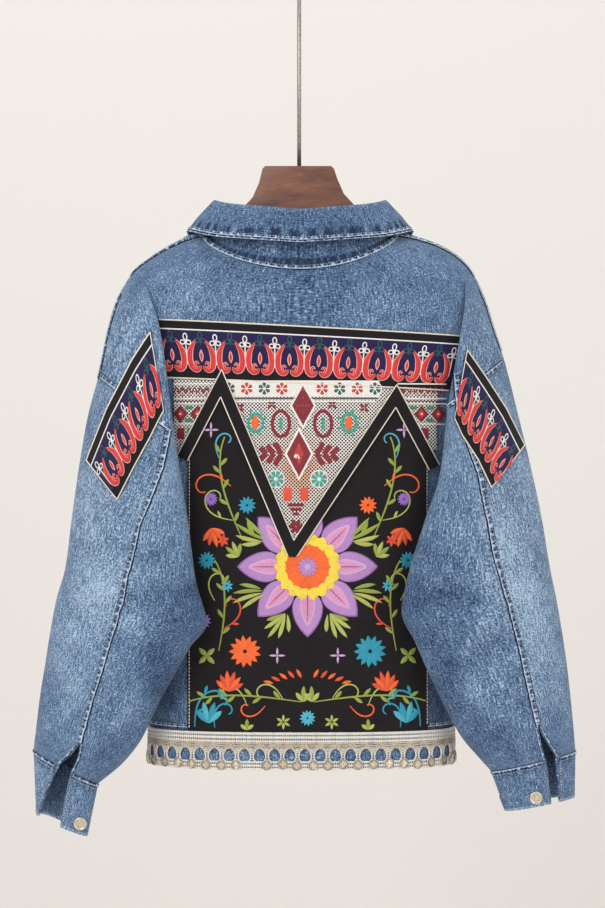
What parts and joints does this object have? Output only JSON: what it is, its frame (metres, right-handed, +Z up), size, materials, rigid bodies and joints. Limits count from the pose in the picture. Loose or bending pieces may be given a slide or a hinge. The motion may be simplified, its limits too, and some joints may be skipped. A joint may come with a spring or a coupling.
{
  "type": "embroidered denim jacket on a wooden hanger",
  "caption": "Oversized washed denim jacket with an embroidered back panel, woven bands and a coin lace hem, buttoned and hung on a wooden hanger.",
  "frame": {"origin": "inner top of the hanger's hook, where it hangs on a rail", "axes": "+Z up; the jacket's back faces -Y and its front +Y; +X is to the right seen from the back"},
  "size_m": [0.604, 0.198, 0.9682],
  "materials": {
    "washed_denim": "mid-blue washed denim, mottled, paler on folds, roped at the seams",
    "black_embroidery": "black cotton ground with satin-stitch flowers, leaves and scrolls in coloured thread",
    "woven_band": "navy and black ribbon with raised red figures",
    "lattice_ribbon": "off-white woven lattice with maroon, green and teal figures",
    "crochet_lace": "off-white cotton lace hung with dull silver coins",
    "pale_metal": "pale champagne metal, softly polished",
    "hanger_wood": "dark reddish-brown stained wood, satin lacquer",
    "hook_wire": "plain dull steel rod"
  },
  "bodies": {
    "root": {"back": "washed_denim", "front_left": "washed_denim", "front_right": "washed_denim", "sleeve_upper_left": "washed_denim", "sleeve_under_left": "washed_denim", "sleeve_upper_right": "washed_denim", "sleeve_under_right": "washed_denim", "waistband": "washed_denim", "cuff_left": "washed_denim", "cuff_right": "washed_denim", "collar_stand": "washed_denim", "collar_fall": "washed_denim", "front_placket": "washed_denim", "embroidered_panel": "black_embroidery", "zigzag_trim": "black_embroidery", "band_back": "woven_band", "band_sleeve_left": "woven_band", "band_sleeve_right": "woven_band", "lattice_ribbon": "lattice_ribbon", "lace_back": "crochet_lace", "lace_front": "crochet_lace", "cuff_button_left": "pale_metal", "cuff_button_right": "pale_metal", "front_button_1": "pale_metal", "front_button_2": "pale_metal", "front_button_3": "pale_metal", "front_button_4": "pale_metal", "front_button_5": "pale_metal", "hanger_wood": "hanger_wood", "hanger_hook": "hook_wire"}
  },
  "joints": []
}
